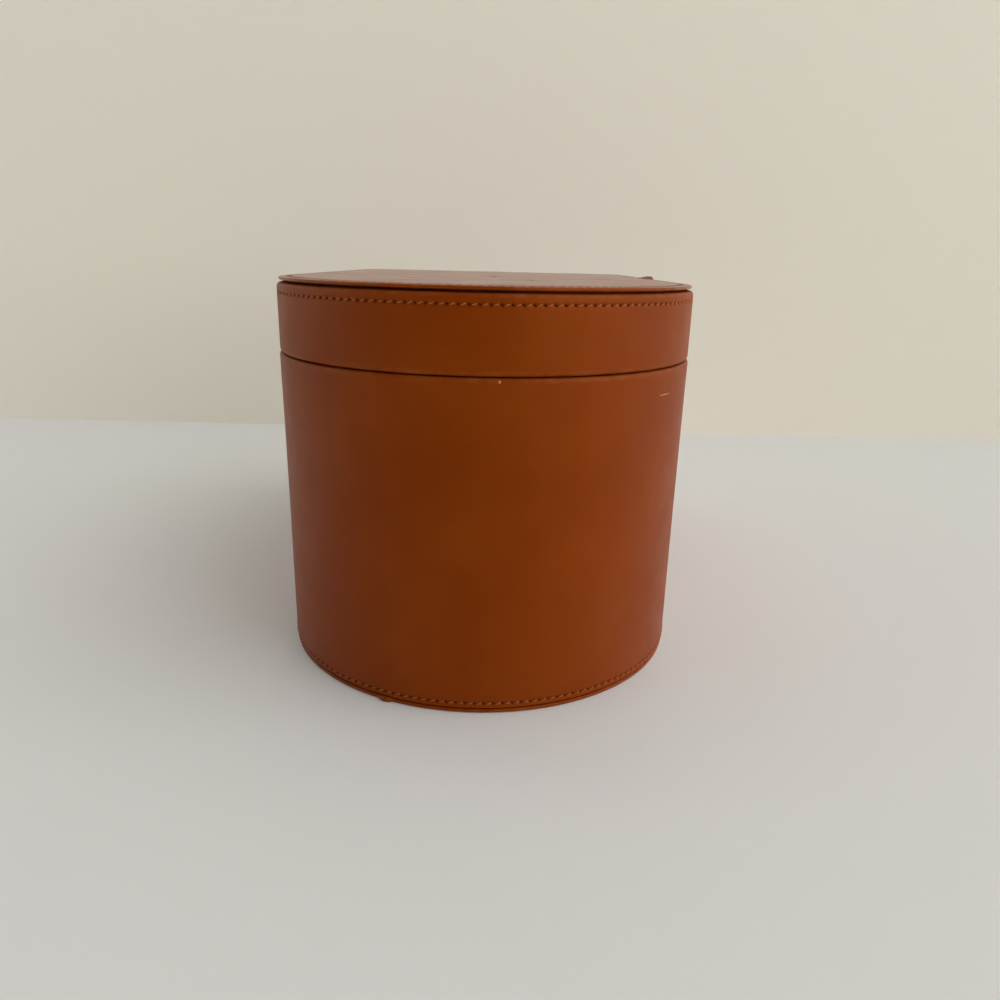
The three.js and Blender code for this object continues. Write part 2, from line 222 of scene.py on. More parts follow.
# %% [markdown]
# ## Polyester thread
# The rows are sewn with a bonded two-ply polyester thread a little paler than the leather. It is smooth,
# with a dull lustre. Its twist is modelled in the stitches, so the material only adds a roughness of
# filaments, drawn at 0.25 mm because real ones are too fine to show.

# %% Mix the thread
def polyester_thread(tree, place):
    strands = add_node(tree, "TexNoise", {"Vector": place, "Scale": per_size(0.25), "Detail": 2})
    tone = two_tone(tree, strands, 0.3, 0.7, "#A8561F", "#C87436")
    filaments = add_node(tree, "Bump", {"Height": strands, "Distance": 0.04 * MM, "Strength": 0.6})
    gloss = add_node(tree, "MapRange", {"Value": strands, 3: 0.55, 4: 0.7})
    return add_node(tree, "BsdfPrincipled", {
        "Base Color": tone, "IOR": 1.53, "Specular IOR Level": 0.2, "Roughness": gloss, "Normal": filaments})


thread = mix_material("polyester_thread", polyester_thread)
print("made", thread.name)

# %% [markdown]
# ## Velour lining
# Inside, the boards are lined with a short-pile polyester velour, a knitted fabric whose loops are sheared.
# Its upright pile takes in light seen straight on and glows towards the edges, which the shader's sheen
# gives. Stroked pile leaves paler and darker patches some 20 mm wide. The tufts are drawn 0.9 mm apart,
# coarser than the real 0.4 mm, to show, and the gaps between them are painted darker as shade in the pile.

# %% Mix the lining
def velour(tree, place):
    strokes = add_node(tree, "TexNoise", {
        "Vector": place, "Scale": per_size(22), "Detail": 3, "Distortion": 0.6})
    tone = two_tone(tree, strokes, 0.3, 0.7, "#6B4B38", "#7E5C46")
    tufts = add_node(tree, "TexVoronoi", {"Vector": place, "Scale": per_size(0.9)})
    # The gaps between tufts, where the bump is lowest, are painted darker: painted shade down in the pile.
    depth = add_node(tree, "MapRange", {"Value": tufts.outputs["Distance"], 1: 0.1, 2: 0.8, 4: 0.45})
    pile_with_gap_shade = add_node(tree, "Mix", {
        MIX_FACTOR: depth, MIX_A: tone, MIX_B: linear("#3E2A1F")}, data_type="RGBA")
    pile = add_node(tree, "Bump", {
        "Height": tufts.outputs["Distance"], "Distance": 0.2 * MM, "Strength": 0.5}, invert=True)
    matt = add_node(tree, "MapRange", {"Value": strokes, 3: 0.86, 4: 0.98})
    return add_node(tree, "BsdfPrincipled", {
        "Base Color": pile_with_gap_shade.outputs[MIX_RESULT], "IOR": 1.5, "Roughness": matt, "Normal": pile,
        "Sheen Weight": 0.45, "Sheen Roughness": 0.35, "Sheen Tint": linear("#C9A78E")})


lining_cloth = mix_material("velour_lining_brown", velour)
print("made", lining_cloth.name)

# %% [markdown]
# ## Greyboard and nickel plate
# The stiff shell is greyboard, a grey sheet of pressed waste paper: dull, with fibres and darker flecks of
# about a millimetre. The bar magnets set in its edges are plated with nickel, a warm grey metal with fine
# polishing lines. Both are hidden in a closed case, but they are CAD nodes that stay, so they get their
# real finish.

# %% Mix the hidden materials
def greyboard(tree, place):
    fibres = add_node(tree, "TexNoise", {
        "Vector": place, "Scale": per_size(1.2), "Detail": 6, "Roughness": 0.7})
    tone = two_tone(tree, fibres, 0.35, 0.65, "#7D766B", "#9A9386")
    felt = add_node(tree, "Bump", {"Height": fibres, "Distance": 0.1 * MM, "Strength": 0.5})
    dull = add_node(tree, "MapRange", {"Value": fibres, 3: 0.85, 4: 0.97})
    return add_node(tree, "BsdfPrincipled", {
        "Base Color": tone, "IOR": 1.5, "Roughness": dull, "Normal": felt})


def nickel_plate(tree, place):
    line_sizes = (per_size(0.3), per_size(4), per_size(0.3))
    stretch = add_node(tree, "Mapping", {"Vector": place, "Scale": line_sizes})
    lines = add_node(tree, "TexNoise", {"Vector": stretch, "Scale": 1, "Detail": 3})
    tone = two_tone(tree, lines, 0, 1, "#B9B4AA", "#CFCAC0")
    polish = add_node(tree, "MapRange", {"Value": lines, 3: 0.22, 4: 0.38})
    return add_node(tree, "BsdfPrincipled", {"Base Color": tone, "Metallic": 1, "Roughness": polish})


board_finish = mix_material("greyboard", greyboard)
magnet_finish = mix_material("nickel_plate", nickel_plate)
for node_name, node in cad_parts.items():
    for word, finish in (("board", board_finish), ("magnet", magnet_finish)):
        if word in node_name:
            node.data.materials.clear()
            node.data.materials.append(finish)
print("made", board_finish.name, "and", magnet_finish.name)

# %% [markdown]
# ## The plan outline
# Every cover follows one outline: the nose's half circle, the sides, the back and its two small corners. It
# is written as a walk round the case, anticlockwise from the middle of the back, that gives a point and the
# direction outwards. The two halves mirror each other, so only the left one is worked out. A circle with
# one flat side would look much the same from the front, but these sides run straight for most of the case's
# length.

# %% Walk round the outline
body_low, body_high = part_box("body_wrap")
lid_low, lid_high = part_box("lid_wrap")
HALF_WIDTH = body_high.x
BACK_Y = body_high.y
NOSE_Y = body_low.y + HALF_WIDTH
BACK_CORNER = 8 * MM
BACK_RUN = HALF_WIDTH - BACK_CORNER
CORNER_RUN = BACK_CORNER * math.pi / 2
SIDE_RUN = BACK_Y - BACK_CORNER - NOSE_Y
WHOLE_RUN = 2 * (BACK_RUN + CORNER_RUN + SIDE_RUN) + HALF_WIDTH * math.pi


def outline_at(distance):
    """Point on the outer outline and its outward direction, that far from the middle of the back."""
    travelled = distance % WHOLE_RUN
    on_right = travelled > WHOLE_RUN / 2
    run = WHOLE_RUN - travelled if on_right else travelled
    if run < BACK_RUN:
        outward = Vector((0, 1, 0))
        point = Vector((-run, BACK_Y, 0))
    elif run < BACK_RUN + CORNER_RUN:
        angle = (run - BACK_RUN) / BACK_CORNER
        outward = Vector((-math.sin(angle), math.cos(angle), 0))
        point = Vector((-BACK_RUN, BACK_Y - BACK_CORNER, 0)) + outward * BACK_CORNER
    elif run < BACK_RUN + CORNER_RUN + SIDE_RUN:
        outward = Vector((-1, 0, 0))
        point = Vector((-HALF_WIDTH, BACK_Y - BACK_CORNER - (run - BACK_RUN - CORNER_RUN), 0))
    else:
        angle = (run - BACK_RUN - CORNER_RUN - SIDE_RUN) / HALF_WIDTH
        outward = Vector((-math.cos(angle), -math.sin(angle), 0))
        point = Vector((0, NOSE_Y, 0)) + outward * HALF_WIDTH
    if on_right:
        outward.x = -outward.x
        point.x = -point.x
    return point, outward


STITCH_COUNT = round(WHOLE_RUN / (4 * MM))
STITCH = WHOLE_RUN / STITCH_COUNT
print(f"once round is {WHOLE_RUN / MM:.1f} mm, sewn with {STITCH_COUNT} stitches of {STITCH / MM:.2f} mm")

# %% [markdown]
# ## From a section to a cover
# A cover is a thin section carried round the outline. The section is a list of rings, each with its inset
# behind the outer face and its height. A ring beside a sewn row has six points to each stitch, so that the
# leather can dip at every needle hole. The other rings have one, and a many-sided face joins the two kinds.
# A curve with a bevel profile could sweep the same section, but it couldn't dip at the holes.

# %% Sweep a section round the case
Ring = namedtuple("Ring", "inset height across fine rubbed part", defaults=(None, False, 0, 0))
Pull = namedtuple("Pull", "hole groove pucker")
WITHIN_STITCH = (0, 0.08, 0.18, 0.5, 0.82, 0.92)
COARSE_PLACES = [outline_at(i * STITCH) for i in range(STITCH_COUNT)]
FINE_DISTANCES = [(i + part) * STITCH for i in range(STITCH_COUNT) for part in WITHIN_STITCH]
FINE_PLACES = [outline_at(distance) for distance in FINE_DISTANCES]
WALL_PULL = Pull(hole=0.7 * MM, groove=0.16 * MM, pucker=0)
HOLE_HALF = 0.56 * MM
GROOVE_HALF = 0.62 * MM
PUCKER_HALF = 1.2 * MM
LAST_INSET = 7.6 * MM


def needle_pull(distance, across, pull=WALL_PULL):
    """How much a point is at a needle hole, from 0 to 1, and how far the sewing pulls it in."""
    from_hole = distance % STITCH
    from_hole = min(from_hole, STITCH - from_hole)
    off_hole = from_hole**2 + across**2
    hole = math.exp(-off_hole / HOLE_HALF**2)
    groove = math.exp(-((across / GROOVE_HALF) ** 2))
    pucker = math.exp(-off_hole / PUCKER_HALF**2)
    return hole, pull.hole * hole + pull.groove * groove + pull.pucker * pucker


def inside(point, outward, inset, part):
    """A place behind the outline: inset from it, or part of the way from the last inset to the middle."""
    if not part:
        return point - outward * inset
    start = point - outward * LAST_INSET
    return start.lerp(Vector((0, min(max(start.y, NOSE_Y), BACK_Y - HALF_WIDTH), 0)), part)


def join_rings(low, high):
    """Faces between two rings of vertex numbers, of the same or of different fineness."""
    if len(low) == len(high):
        following = range(1, len(low) + 1)
        return [(low[i - 1], low[i % len(low)], high[i % len(low)], high[i - 1]) for i in following]
    parts = len(WITHIN_STITCH)
    faces = []
    for i in range(STITCH_COUNT):
        spread = [j % len(FINE_PLACES) for j in range(i * parts, (i + 1) * parts + 1)]
        ends = (i, (i + 1) % STITCH_COUNT)
        if len(low) > len(high):
            faces.append([low[j] for j in spread] + [high[ends[1]], high[ends[0]]])
        else:
            faces.append([low[ends[0]], low[ends[1]]] + [high[j] for j in reversed(spread)])
    return faces


def sweep(rings, sink_axis, shift=None, is_ring=True, pull=WALL_PULL):
    """Vertices, faces and the two leather values of a section swept round the case.
    sink_axis is the section direction, as inset and height, in which the sewing pulls the leather.
    shift(ring, distance, place) says how much inset and height to add at a place."""
    vertices, faces, holes, rubs, loops = [], [], [], [], []
    for ring in rings:
        is_fine = ring.fine or ring.across is not None
        places = FINE_PLACES if is_fine else COARSE_PLACES
        loops.append(range(len(vertices), len(vertices) + len(places)))
        for i, (point, outward) in enumerate(places):
            distance = FINE_DISTANCES[i] if is_fine else i * STITCH
            hole, sink = (0, 0) if ring.across is None else needle_pull(distance, ring.across, pull)
            inset = ring.inset + sink * sink_axis[0]
            height = ring.height + sink * sink_axis[1]
            if shift:
                extra_inset, extra_height = shift(ring, distance, inside(point, outward, 0, ring.part))
                inset += extra_inset
                height += extra_height
            vertices.append(inside(point, outward, inset, ring.part) + Vector((0, 0, height)))
            holes.append(hole)
            rubs.append(ring.rubbed)
    for low, high in zip(loops, loops[1:]):
        faces += join_rings(low, high)
    if is_ring:
        faces += join_rings(loops[-1], loops[0])
    else:
        faces += [list(reversed(loops[0])), list(loops[-1])]
    return vertices, faces, {"needle_hole_shade_and_dirt": holes, "rubbed_edge": rubs}


def quarter(inset, height, radius, start, end, steps=4, **kind):
    """Rings of a quarter round about a point of the section. Angle 0 points inwards, 90 degrees up."""
    angles = [math.radians(start + (end - start) * i / steps) for i in range(steps + 1)]
    return [Ring(inset + radius * math.cos(a), height + radius * math.sin(a), **kind) for a in angles]


print("a fine ring has", len(FINE_PLACES), "points, a coarse one", len(COARSE_PLACES))

# %% [markdown]
# ## Putting a piece in the scene
# Each piece becomes one closed mesh with outward faces, smooth across its curves and sharp at its folds.
# The same few calls then say which finish it has, which body of the case carries it and which CAD solids it
# stands for.

# %% Make a piece from vertices and faces
SHARP = math.radians(50)


def make_piece(name, shape, finish, body=None, stands_for=()):
    vertices, faces, values = shape
    mesh = bpy.data.meshes.new(name)
    mesh.from_pydata(vertices, [], faces)
    for value_name, amounts in values.items():
        mesh.attributes.new(value_name, "FLOAT", "POINT").data.foreach_set("value", amounts)
    tidy = bmesh.new()
    tidy.from_mesh(mesh)
    bmesh.ops.recalc_face_normals(tidy, faces=tidy.faces)
    tidy.to_mesh(mesh)
    tidy.free()
    mesh.polygons.foreach_set("use_smooth", [True] * len(mesh.polygons))
    mesh.set_sharp_from_angle(angle=SHARP)
    mesh.materials.append(finish)
    piece = add_object(name, mesh)
    if body:
        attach(piece, body)
    if stands_for:
        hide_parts(*stands_for)
    print(f"{name}: {len(mesh.vertices)} vertices, {len(mesh.polygons)} faces")
    return piece


# %% [markdown]
# ## The two wraps
# The body and the lid's band are each wrapped in one strip of leather, glued on, turned in over both edges
# of the board and closed by a butt joint at the middle of the back. Glued sheet is never quite flat, so the
# wall carries a wave of a tenth of a millimetre, which breaks up a reflection. One row is sewn along the
# lower edge of the body and one along the upper edge of the band.

# %% Wrap the body and the lid's band
LEATHER = 1.0 * MM
TURN_IN = 4.2 * MM
WRAP_EDGE = 1.4 * MM
WAVE_DEPTH = 0.1 * MM
WAVE_LENGTH = 42 * MM
INSIDE = WRAP_EDGE + 0.01 * MM
JOINT_DEPTH = 0.35 * MM
JOINT_HALF = 0.5 * MM
RIM_FLARE = 0.5 * MM
BAND_FLARE = 0.2 * MM
FLARE_RUN = 20 * MM
ROOF_TUCK = 0.7 * MM
RUB_RUN = 1.0 * MM
BAND_LEAN = 0.35 * MM
LEAN_RUN = 3.2 * MM
EDGE_TUCK = 0.05 * MM
WALL_STEP = 12 * MM
BESIDE_ROW = [across * MM for across in (-1.9, -1.5, -1.1, -0.7, -0.35, 0, 0.35, 0.7, 1.1, 1.5, 1.9)]


def middle_of(node_name):
    low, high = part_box(node_name)
    return (low + high) / 2


def wall_wave(ring, distance, point):
    """Lets the outer face of a wrap wave, flares it at the nose's rim and sinks the joint at the back."""
    if ring.inset > WRAP_EDGE:
        return 0, 0
    wave = noise.noise(Vector((point.x, point.y, ring.height)) / WAVE_LENGTH) * WAVE_DEPTH
    from_joint = min(distance, WHOLE_RUN - distance)
    joint = JOINT_DEPTH * math.exp(-((from_joint / JOINT_HALF) ** 2))
    on_nose = min(max((NOSE_Y - point.y) / FLARE_RUN, 0), 1)
    towards_rim = max(ring.height / body_high.z, 0)
    flare = RIM_FLARE * min(towards_rim, 1) ** 3 if ring.height < body_high.z else BAND_FLARE
    near_top = max(1 - (lid_high.z - ring.height) / LEAN_RUN, 0)
    return abs(wave) + joint + BAND_LEAN * near_top**2 - flare * on_nose, 0


def wrap_section(bottom, top, row, tuck_up=EDGE_TUCK):
    """Rings up the outside of a wrap and down its inside. The turned-in top edge ends in a tuck that high."""
    rings = [Ring(TURN_IN, bottom)]
    rings += quarter(WRAP_EDGE, bottom + WRAP_EDGE, WRAP_EDGE, 270, 180, rubbed=1)
    below_row = (bottom + WRAP_EDGE, row + BESIDE_ROW[0])
    above_row = (row + BESIDE_ROW[-1], top - WRAP_EDGE)
    heights = []
    for low, high in (below_row, above_row):
        count = max(2, round((high - low) / WALL_STEP))
        heights += [low + (high - low) * i / count for i in range(1, count)]
        if high - low > 4 * RUB_RUN:
            heights += [low + RUB_RUN, high - RUB_RUN]
    wall = [Ring(0, height) for height in heights]
    wall += [Ring(0, row + across, across=across) for across in BESIDE_ROW]
    rings += sorted(wall, key=lambda ring: ring.height)
    rings += quarter(WRAP_EDGE, top - WRAP_EDGE, WRAP_EDGE, 180, 90, rubbed=1)
    rings += [Ring(TURN_IN - 2 * tuck_up, top), Ring(TURN_IN - tuck_up / 2, top + tuck_up)]
    rings += [Ring(TURN_IN, top + tuck_up), Ring(TURN_IN, top - LEATHER), Ring(INSIDE, top - LEATHER)]
    return rings + [Ring(INSIDE, bottom + LEATHER), Ring(TURN_IN, bottom + LEATHER)]


INWARDS = (1, 0)
FOOT_ROW = middle_of("body_foot_thread").z
BAND_ROW = middle_of("lid_band_thread").z
body_shape = sweep(wrap_section(body_low.z, body_high.z, FOOT_ROW), INWARDS, wall_wave)
make_piece("body_leather", body_shape, leather, "case_body", ["body_wrap"])
band_shape = sweep(wrap_section(lid_low.z, lid_high.z, BAND_ROW, ROOF_TUCK), INWARDS, wall_wave)
make_piece("lid_band_leather", band_shape, leather, "lid", ["lid_wrap"])

# %% [markdown]
# ## The lid panel and the base panel
# The top and the underside are separate sewn panels: leather folded round a thin board, with a rolled edge
# that shows as a lip beyond a dark gap. Each is a shallow tray, so its section ends in a flat face instead
# of closing on itself. The thread pulls the lid's row down a little: the middle is slightly crowned, the
# leather puckers at every needle hole, and the border outside the row lies a step lower. Seen almost edge
# on, that is what scallops the row. The rolled edge of the base has one spot where surplus leather was
# pushed up into a small lump.

# %% Roll the two panels
PANEL_EDGE = 0.6 * MM
CAD_THREAD_HALF = 0.4 * MM
LID_ROLL = (1.0 * MM, 0.6 * MM)
BASE_ROLL = (0.6 * MM, 0.6 * MM)
ROLL_STEPS = [step * MM for step in (0, 0.04, 0.15, 0.35, 0.7, 1.0, 1.6, 2.1)]
LID_PULL = Pull(hole=0.35 * MM, groove=0.1 * MM, pucker=0.6 * MM)
LID_CROWN = 0.15 * MM
LID_STEP = 0.2 * MM
STEP_RUN = 1.5 * MM
CROWN_PARTS = (0.02, 0.06, 0.12, 0.2, 0.3)
LUMP_AT = BACK_RUN + CORNER_RUN + SIDE_RUN + HALF_WIDTH * math.radians(66.5)
LUMP_SLOPE = 3.4 * MM
LUMP_END = 1.8 * MM
LUMP_OUT = 1.5 * MM
LUMP_UP = 0.9 * MM


def rolled(from_edge, roll):
    """How far a panel's face has dropped at a distance from its edge: a quarter of an ellipse."""
    run, drop = roll
    return drop * (1 - math.sqrt(1 - max(1 - from_edge / run, 0) ** 2))


def panel_section(edge, under, top, row_inset, roll, crown, step_down):
    """Rings of a tray that opens downwards, from inside its rim, round its rolled edge and over its top.
    The sewn row lies lower than the middle by the crown, and the border outside it is a step lower."""
    inner = edge + LEATHER
    row = top - crown
    border = row - step_down
    rings = [Ring(inner, top - LEATHER), Ring(inner, under)]
    rings += quarter(edge + PANEL_EDGE, under + PANEL_EDGE, PANEL_EDGE, 270, 180, fine=True, rubbed=1)
    for step in ROLL_STEPS:
        rub = max(1 - step / RUB_RUN, 0)
        rings.append(Ring(edge + step, border - rolled(step, roll), fine=True, rubbed=rub))
    for across in BESIDE_ROW:
        outside = min(max(-across / STEP_RUN, 0), 1)
        rings.append(Ring(row_inset + across, row - step_down * outside, across=across))
    crowned = [top - crown * (1 - part / CROWN_PARTS[-1]) ** 2 for part in CROWN_PARTS]
    return rings + [Ring(0, height, part=part) for height, part in zip(crowned, CROWN_PARTS)]


def base_lump(ring, distance, point):
    """Pushes the base panel's rolled edge out where its leather is bunched: a slope that ends abruptly."""
    if ring.rubbed == 0:
        return 0, 0
    past = distance - LUMP_AT
    bunch = math.exp(-((past / (LUMP_SLOPE if past < 0 else LUMP_END)) ** 4))
    return -LUMP_OUT * bunch, LUMP_UP * bunch * (ring.height / base_high.z)


DOWN = (0, -1)
UP = (0, 1)
panel_low, panel_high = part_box("lid_panel_cover")
base_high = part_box("base_panel_cover")[1]
LID_EDGE = HALF_WIDTH - panel_high.x
BASE_EDGE = HALF_WIDTH - base_high.x
ROW_INSET = panel_high.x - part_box("lid_panel_thread")[1].x + CAD_THREAD_HALF
LID_ROW_INSET = LID_EDGE + ROW_INSET
BASE_ROW_INSET = BASE_EDGE + ROW_INSET
lid_panel_rings = panel_section(LID_EDGE, panel_low.z, panel_high.z, LID_ROW_INSET, LID_ROLL, LID_CROWN,
                                LID_STEP)
lid_panel_shape = sweep(lid_panel_rings, DOWN, is_ring=False, pull=LID_PULL)
make_piece("lid_panel_leather", lid_panel_shape, pressed_leather, "lid", ["lid_panel_cover"])
turned_over = panel_section(BASE_EDGE, 0, base_high.z, BASE_ROW_INSET, BASE_ROLL, 0, 0)
base_rings = [ring._replace(height=base_high.z - ring.height) for ring in turned_over]
base_shape = sweep(base_rings, UP, base_lump, is_ring=False)
make_piece("base_panel_leather", base_shape, pressed_leather, "case_body",
           ["base_panel_cover"])

# %% [markdown]
# ## The stitches
# A machine stitch lies on top of the leather between two needle holes and dives into both. Tension pulls it
# aslant, so the row looks like a rope of short dashes that rise to the right. Each one is modelled as a
# thin arched tube with the two lobes of a two-ply thread turning along it. An array along a curve would be
# lighter, but single tubes can follow the holes that the leather already has.

# %% Sew the rows
THREAD_RADIUS = 0.34 * MM
STITCH_STEPS = 8
STITCH_SIDES = 8
STITCH_STARTS = 0.22
STITCH_SPAN = 0.58
STITCH_SLANT = 0.9 * MM
STITCH_SINK = 0.4 * MM
ARCH_POWER = 0.6
THIN_END = 0.6
PLY_TURNS = 1.5
PLY_LOBE = 0.13


def stitch_tube(start, end, outward, rise):
    """Points of one stitch between two holes, standing that far proud."""
    along = end - start
    across = outward.cross(along).normalized()
    points = []
    for step in range(STITCH_STEPS + 1):
        part = step / STITCH_STEPS
        arch = math.sin(math.pi * part) ** ARCH_POWER
        centre = start + along * (STITCH_STARTS + STITCH_SPAN * part) + across * STITCH_SLANT * (part - 0.5)
        centre = centre + outward * (arch * (rise + STITCH_SINK) - STITCH_SINK)
        twist = part * PLY_TURNS * 2 * math.pi
        for side in range(STITCH_SIDES):
            angle = 2 * math.pi * side / STITCH_SIDES
            lobe = 1 - PLY_LOBE + PLY_LOBE * math.cos(2 * (angle - twist))
            spoke = across * math.cos(angle) + outward * math.sin(angle)
            points.append(centre + spoke * THREAD_RADIUS * lobe * (THIN_END + (1 - THIN_END) * arch))
    return points


def sew(holes, outwards, rise):
    """Vertices and faces of the stitches between neighbouring holes."""
    vertices, faces = [], []
    for start, end, outward in zip(holes, holes[1:], outwards):
        first = len(vertices)
        vertices += stitch_tube(start, end, outward, rise)
        for step in range(STITCH_STEPS):
            low = first + step * STITCH_SIDES
            for side in range(STITCH_SIDES):
                beside = (side + 1) % STITCH_SIDES
                high = low + STITCH_SIDES
                faces.append((low + side, low + beside, high + beside, high + side))
        faces.append([first + side for side in reversed(range(STITCH_SIDES))])
        faces.append([first + STITCH_STEPS * STITCH_SIDES + side for side in range(STITCH_SIDES)])
    return vertices, faces, {}


def round_row(inset, height, flat_outward=None):
    """Needle holes once round the case, and the way each stitch faces."""
    holes, outwards = [], []
    for i in range(STITCH_COUNT + 1):
        point, outward = outline_at(i * STITCH)
        holes.append(point - outward * inset + Vector((0, 0, height)))
        outwards.append(flat_outward or outline_at((i + 0.5) * STITCH)[1])
    return holes, outwards


SKYWARD = Vector((0, 0, 1))
WALL_RISE = 0.02 * MM
PANEL_RISE = -0.4 * MM
ROWS = {
    "foot_stitches": (round_row(0, FOOT_ROW), WALL_RISE, "case_body", "body_foot_thread"),
    "band_stitches": (round_row(0, BAND_ROW), WALL_RISE, "lid", "lid_band_thread"),
    "lid_panel_stitches": (round_row(LID_ROW_INSET, panel_high.z - LID_CROWN, SKYWARD), PANEL_RISE,
                           "lid", "lid_panel_thread"),
    "base_panel_stitches": (round_row(BASE_ROW_INSET, THREAD_RADIUS, -SKYWARD), 0, "case_body",
                            "base_panel_thread"),
}
for row_name, (row, rise, carrier, cad_row) in ROWS.items():
    make_piece(row_name, sew(*row, rise), thread, carrier, [cad_row])

# %% [markdown]
# ## The hinge strip
# The lid turns on a strip of leather glued and sewn over the seam along the left side. It is one flexible
# piece, so it is modelled flat, with a pressed crease at the seam. Two leaves on a pin would be easier to
# move but would look like a metal hinge. A strip is a grid of points on two faces: near its edge the front
# sinks towards the back, which rounds the cut edge over.

# %% Make a flat strip of leather
STRIP_EDGE = 0.8 * MM
STRIP_RIM = 0.45 * MM
CLOSE_TO_EDGE = [0, 0.2 * MM, 0.4 * MM, 0.6 * MM, STRIP_EDGE]


def spaced(low, high, step, extra=()):
    """Places from low to high: close at both ends, about a step apart between, and at the extra ones."""
    places = [low + inset for inset in CLOSE_TO_EDGE] + [high - inset for inset in CLOSE_TO_EDGE]
    inner_low, inner_high = low + STRIP_EDGE, high - STRIP_EDGE
    count = max(1, round((inner_high - inner_low) / step))
    places += [inner_low + (inner_high - inner_low) * i / count for i in range(1, count)]
    places += extra
    return sorted(set(round(place, 7) for place in places))


def swell(from_edge, edge):
    """0 at the edge of a strip, rising softly to 1 where the skived edge ends."""
    return math.sin(math.pi / 2 * min(max(from_edge / edge, 0), 1)) ** 2


def strip_shape(lengths, widths, half_width_at, thick, place, sink=None, edge=STRIP_EDGE, rim_at=None):
    """A strip laid out in length and width. place(length, width, depth) puts a point in the scene, with its
    depth from the strip's middle. half_width_at(length) narrows the strip at round corners and ends.
    Its back is flat. Its face is skived: within the edge it falls to a thin rim, rim_at(length)."""
    full = max(abs(width) for width in widths)
    vertices, faces, holes = [], [], []
    for face in (1, -1):
        for length in lengths:
            end_swell = swell(min(length - lengths[0], lengths[-1] - length), edge)
            rim = rim_at(length) if rim_at else STRIP_RIM
            for width in widths:
                real_width = width / full * half_width_at(length)
                height = rim + (thick - rim) * end_swell * swell(full - abs(width), edge)
                hole, dip = sink(length, real_width) if sink and face == 1 else (0, 0)
                depth = height - dip - thick / 2 if face == 1 else -thick / 2
                vertices.append(place(length, real_width, depth))
                holes.append(hole)
    across, down = len(widths), len(lengths)
    back = across * down
    for i in range(down - 1):
        for j in range(across - 1):
            corner = i * across + j
            quad = (corner, corner + 1, corner + across + 1, corner + across)
            faces.append(quad)
            faces.append([back + index for index in reversed(quad)])
    rows = [list(range(i * across, (i + 1) * across)) for i in range(down)]
    border = rows[0] + [row[-1] for row in rows[1:-1]]
    border += rows[-1][::-1] + [row[0] for row in rows[-2:0:-1]]
    for here, there in zip(border, border[1:] + border[:1]):
        faces.append((here, back + here, back + there, there))
    return vertices, faces, {"needle_hole_shade_and_dirt": holes, "rubbed_edge": [0] * len(holes)}


print("strips have rounded edges of", STRIP_EDGE / MM, "mm")

# %% Lay the hinge strip over the seam
leaf_low, leaf_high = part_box("hinge_body_leaf")
lid_leaf_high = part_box("hinge_lid_leaf")[1]
SEAM = (body_high.z + lid_low.z) / 2
STRAP = leaf_high.x - leaf_low.x
STRIP_X = (leaf_low.x + leaf_high.x) / 2
STRIP_Y = (leaf_low.y + leaf_high.y) / 2
STRIP_HALF = (leaf_high.y - leaf_low.y) / 2
LEAF = lid_leaf_high.z - SEAM
STRIP_CORNER = 4 * MM
STRIP_ROW = 3 * MM
CREASE_DEPTH = 0.22 * MM
CREASE_HALF = 0.6 * MM
STRIP_PULL = 0.6
STRIP_STEP_UP = 2.5 * MM
STRIP_STEP_ALONG = 4 * MM
STRIP_STITCHES = round(2 * (STRIP_HALF - STRIP_ROW) / STITCH)
STRIP_STITCH = 2 * (STRIP_HALF - STRIP_ROW) / STRIP_STITCHES


def hinge_half_length(height):
    """Half the strip's length at a height from the seam, less at its round corners."""
    past = abs(height) - (LEAF - STRIP_CORNER)
    if past <= 0:
        return STRIP_HALF
    return STRIP_HALF - STRIP_CORNER + math.sqrt(max(STRIP_CORNER**2 - past**2, 0))


def hinge_sink(height, along):
    """Needle holes of both rows and the pressed crease over the seam."""
    across = abs(height) - (LEAF - STRIP_ROW)
    from_hole = (along + STRIP_HALF - STRIP_ROW) % STRIP_STITCH
    hole, depth = needle_pull(from_hole * STITCH / STRIP_STITCH, across)
    if abs(along) > STRIP_HALF - STRIP_ROW:
        hole, depth = 0, 0
    crease = CREASE_DEPTH * math.exp(-((height / CREASE_HALF) ** 2))
    return hole, STRIP_PULL * depth + crease


def hinge_place(height, along, depth):
    return Vector((STRIP_X - depth, STRIP_Y - along, SEAM + height))


near_rows = [side * (LEAF - STRIP_ROW + across) for side in (-1, 1) for across in BESIDE_ROW]
near_fold = [step * MM for step in (-1.2, -0.8, -0.4, 0, 0.4, 0.8, 1.2, 2, 3, 4, 5, 6)]
strip_heights = spaced(-LEAF, LEAF, STRIP_STEP_UP, near_rows + near_fold)
hole_places = [STRIP_ROW - STRIP_HALF + (i + part) * STRIP_STITCH
               for i in range(STRIP_STITCHES) for part in WITHIN_STITCH]
strip_lengths = spaced(-STRIP_HALF, STRIP_HALF, STRIP_STEP_ALONG, hole_places)
hinge_shape = strip_shape(strip_heights, strip_lengths, hinge_half_length, STRAP, hinge_place, hinge_sink)
hinge = make_piece("hinge_strip", hinge_shape, leather)
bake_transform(hinge)
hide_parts("hinge_body_leaf", "hinge_lid_leaf")

# %% [markdown]
# The strip's two rows are separate pieces, because one moves with the lid and the other stays on the body.

# %% Sew the hinge strip
LEFTWARD = Vector((-1, 0, 0))
for row_name, side, carrier in (("hinge_body_stitches", -1, "case_body"), ("hinge_lid_stitches", 1, "lid")):
    row_height = SEAM + side * (LEAF - STRIP_ROW)
    start_y = STRIP_Y + STRIP_HALF - STRIP_ROW
    strip_places = [start_y - i * STRIP_STITCH for i in range(STRIP_STITCHES + 1)]
    strip_holes = [Vector((leaf_low.x, y, row_height)) for y in strip_places]
    row_shape = sew(strip_holes, [LEFTWARD] * STRIP_STITCHES, WALL_RISE)
    make_piece(row_name, row_shape, thread, carrier)
